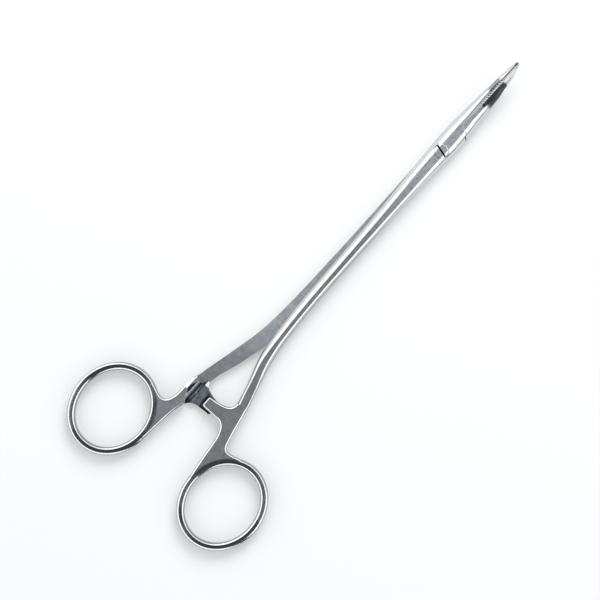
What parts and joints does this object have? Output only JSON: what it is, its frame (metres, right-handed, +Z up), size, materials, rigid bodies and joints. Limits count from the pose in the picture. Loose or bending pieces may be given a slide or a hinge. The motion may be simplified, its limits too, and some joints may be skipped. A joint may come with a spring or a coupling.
{
  "type": "hemostat forceps",
  "caption": "Long polished steel clamping forceps with finger rings, a ratchet catch, a flush screw lap joint and slender curved serrated jaws.",
  "frame": {"origin": "bottom centre of the box round the closed instrument lying flat: rings, lower shank and joint rest on Z = 0", "axes": "+Z up, square to the faces of the lap joint; +Y along the instrument from the finger rings to the jaw tips; +X towards the upper arm's ring"},
  "size_m": [0.081, 0.2007, 0.011],
  "materials": {
    "upper_steel": "polished stainless steel with fine satin facets",
    "lower_steel": "polished stainless steel with ground flats",
    "screw_steel": "polished stainless steel"
  },
  "bodies": {
    "lower": {"lower_arm": "lower_steel", "pivot_screw": "screw_steel"},
    "upper": {"upper_arm": "upper_steel"}
  },
  "joints": [
    {"name": "pivot", "type": "hinge", "parent": "lower", "child": "upper", "pos_m": [0.00038, 0.06, 0.0028], "axis": [0, 0, 1], "range_deg": [0, 90]}
  ]
}
